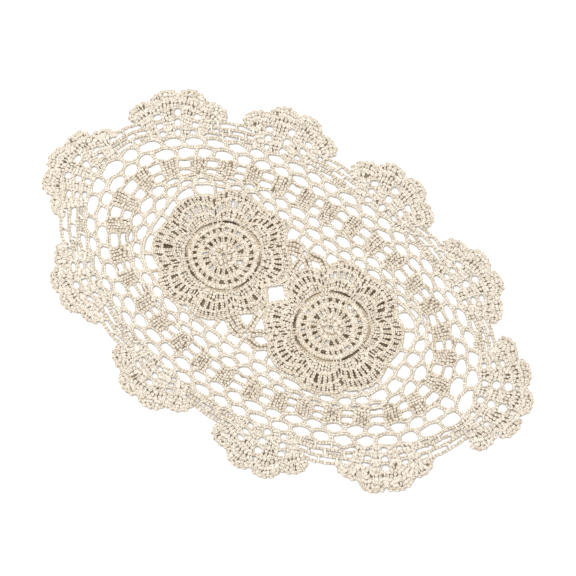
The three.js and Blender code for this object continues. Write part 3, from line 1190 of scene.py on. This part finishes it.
def sway(across, along, first, second, quick):
    slow = np.sin(across / first[0] + first[1]) * np.sin(along / second[0] + second[1])
    return SWAY * (slow + np.sin(across / quick[0] + along / quick[1]))


def to_mat(points):
    """Chart points in the mat's own frame, in metres, swayed out of true."""
    x, y, z = points.T
    right = x + sway(y, x, *SWAY_X) - MAT_MIDDLE[0]
    forward = y + sway(x, y, *SWAY_Y) - MAT_MIDDLE[1]
    return np.stack([right, forward, z], -1) * MM


def make_piece(fabric, material):
    """The joined mesh of a fabric's stitches, riding on the mat."""
    points, quads, tones_and_painted_shades, painted_crease_shades, streaks = [np.concatenate(part) for part in zip(*fabric.parts)]
    mesh = bpy.data.meshes.new(fabric.name)
    mesh.vertices.add(len(points))
    mesh.vertices.foreach_set("co", to_mat(points).astype(np.float32).ravel())
    mesh.loops.add(quads.size)
    mesh.loops.foreach_set("vertex_index", quads.astype(np.int32).ravel())
    mesh.polygons.add(len(quads))
    mesh.polygons.foreach_set("loop_start", np.arange(len(quads), dtype=np.int32) * 4)
    mesh.update(calc_edges=True)
    mesh.validate()
    mesh.polygons.foreach_set("use_smooth", np.full(len(mesh.polygons), True))
    # Per point: each stitch's random value, which on the ground's strands is their painted shade, then
    # the painted shade at leg sides and ends, and the streaks.
    layers = [
        ("tone_and_painted_shade", "FLOAT", "value", tones_and_painted_shades),
        ("painted_crease_shade", "FLOAT", "value", painted_crease_shades),
        ("streak", "FLOAT_VECTOR", "vector", streaks),
    ]
    for name, kind, field, values in layers:
        layer = mesh.attributes.new(name, kind, "POINT")
        layer.data.foreach_set(field, values.astype(np.float32).ravel())
    mesh.materials.append(material)
    piece = linked(fabric.name, mesh)
    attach(piece, "root")
    return piece


def linked(name, data):
    """A new object in the scene."""
    made = bpy.data.objects.new(name, data)
    bpy.context.scene.collection.objects.link(made)
    return made


def new_material(name):
    material = bpy.data.materials.new(name)
    material.use_nodes = True
    shader = material.node_tree.nodes["Principled BSDF"]
    shader.inputs["Roughness"].default_value = 0.9
    return material, shader


def new_node(nodes, kind, **values):
    """A shader node with values for its inputs."""
    node = nodes.new("ShaderNode" + kind)
    for name, value in values.items():
        node.inputs[name].default_value = value
    return node


def attribute(nodes, name):
    node = new_node(nodes, "Attribute")
    node.attribute_name = name
    return node


def multiply(nodes):
    node = new_node(nodes, "Mix")
    node.data_type = "RGBA"
    node.blend_type = "MULTIPLY"
    return node


def cotton(name, colours, sheen):
    """Cotton yarn: a colour per stitch from its value, painted shade on leg sides and ends, streaks along
    the twist, soft sheen.
    """
    material, shader = new_material(name)
    nodes = material.node_tree.nodes
    links = material.node_tree.links
    shader.inputs["Specular IOR Level"].default_value = sheen
    shader.inputs["Sheen Weight"].default_value = sheen
    shader.inputs["Sheen Roughness"].default_value = 0.6

    ramp = new_node(nodes, "ValToRGB")
    for element, colour in zip(ramp.color_ramp.elements, colours):
        element.color = colour
    links.new(attribute(nodes, "tone_and_painted_shade").outputs["Fac"], ramp.inputs["Fac"])

    # Painted shade: the colour sinks towards a darker tint low on the legs' sides and at their ends.
    crease_shading = multiply(nodes)
    crease_shading.inputs["B"].default_value = PAINTED_SHADE_TINT
    links.new(attribute(nodes, "painted_crease_shade").outputs["Fac"], crease_shading.inputs["Factor"])
    links.new(ramp.outputs["Color"], crease_shading.inputs["A"])

    stretch = new_node(nodes, "Mapping", Scale=(0.5, 1.6, 1.6))
    links.new(attribute(nodes, "streak").outputs["Vector"], stretch.inputs["Vector"])
    fibres = new_node(nodes, "TexNoise", Scale=2.2, Detail=3)
    links.new(stretch.outputs["Vector"], fibres.inputs["Vector"])

    shade = multiply(nodes)
    shade.inputs["Factor"].default_value = FIBRE_SHADE
    links.new(crease_shading.outputs["Result"], shade.inputs["A"])
    links.new(fibres.outputs["Fac"], shade.inputs["B"])
    links.new(shade.outputs["Result"], shader.inputs["Base Color"])

    bump = new_node(nodes, "Bump", Strength=0.5, Distance=0.0004)
    links.new(fibres.outputs["Fac"], bump.inputs["Height"])
    links.new(bump.outputs["Normal"], shader.inputs["Normal"])
    return material


def lay_stitches():
    """All the stitches, piece by piece. The ground gathers its strands meanwhile."""
    fans = [Fan(*fan) for fan in FANS]
    fabrics = {name: Fabric(name) for name in PIECES}
    left, right = np.array(MEDALLIONS)
    medallion(fabrics["medallion_left"], left, DENT_Y_ANGLE, OPEN_PETALS[0])
    medallion(fabrics["medallion_right"], right, np.pi - DENT_Y_ANGLE, OPEN_PETALS[1])
    inner = fabrics["net_inner"]
    skirt(inner)
    valleys(inner)
    join(inner)
    net(inner, INNER_NET)
    block_round(fabrics["block_round"])
    net(fabrics["net_outer"], OUTER_NET)
    edging_rounds(fabrics["edging_rounds"], fans)
    columns(fabrics["edging_columns"], fans)
    shells(fabrics["edging_shells"], fans)
    return fabrics.values()


def build():
    fabrics = lay_stitches()
    dense = cotton("cotton_in_painted_shade", YARN_IN_PAINTED_SHADE, YARN_SHEEN)
    light = cotton("cotton_in_painted_light", YARN_IN_PAINTED_LIGHT, YARN_SHEEN)
    gap_shade_yarn = cotton("painted_gap_shade_cotton", PAINTED_GAP_SHADE, 0.0)
    for fabric in fabrics:
        yarn = dense if fabric.name in DENSE_PIECES else light
        make_piece(fabric, yarn)
    sheet = make_piece(ground, gap_shade_yarn)
    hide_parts("placemat")


def floor():
    material, shader = new_material("pale_floor")
    shader.inputs["Base Color"].default_value = (0.9, 0.9, 0.9, 1)
    bpy.ops.mesh.primitive_plane_add(size=8, location=(0, 0, FLOOR_Z))
    plane = bpy.context.object
    plane.name = "floor"
    plane.data.materials.append(material)


def camera():
    data = bpy.data.cameras.new("camera")
    eye = linked("camera", data)
    back = Vector((
        math.sin(AZIMUTH) * math.cos(ELEVATION),
        -math.cos(AZIMUTH) * math.cos(ELEVATION),
        math.sin(ELEVATION),
    ))
    turn = (-back).to_track_quat("-Z", "Y")
    aim = turn @ Vector((AIM_RIGHT, AIM_UP, 0))
    eye.location = back * CAMERA_DISTANCE + aim
    eye.rotation_mode = "QUATERNION"
    eye.rotation_quaternion = turn
    data.lens = data.sensor_width * CAMERA_DISTANCE / FRAME_WIDTH
    bpy.context.scene.camera = eye


def lights():
    world = bpy.data.worlds.new("studio")
    world.use_nodes = True
    sky = world.node_tree.nodes["Background"]
    sky.inputs["Color"].default_value = (1, 1, 1, 1)
    sky.inputs["Strength"].default_value = 1.05
    bpy.context.scene.world = world
    data = bpy.data.lights.new("key", "AREA")
    data.size = 2.2
    data.energy = 40
    key = linked("key", data)
    key.location = LIGHT_PLACE
    key.rotation_euler = (-LIGHT_PLACE).to_track_quat("-Z", "Y").to_euler()
    bpy.context.scene.view_settings.view_transform = "Standard"


build()
floor()
camera()
lights()
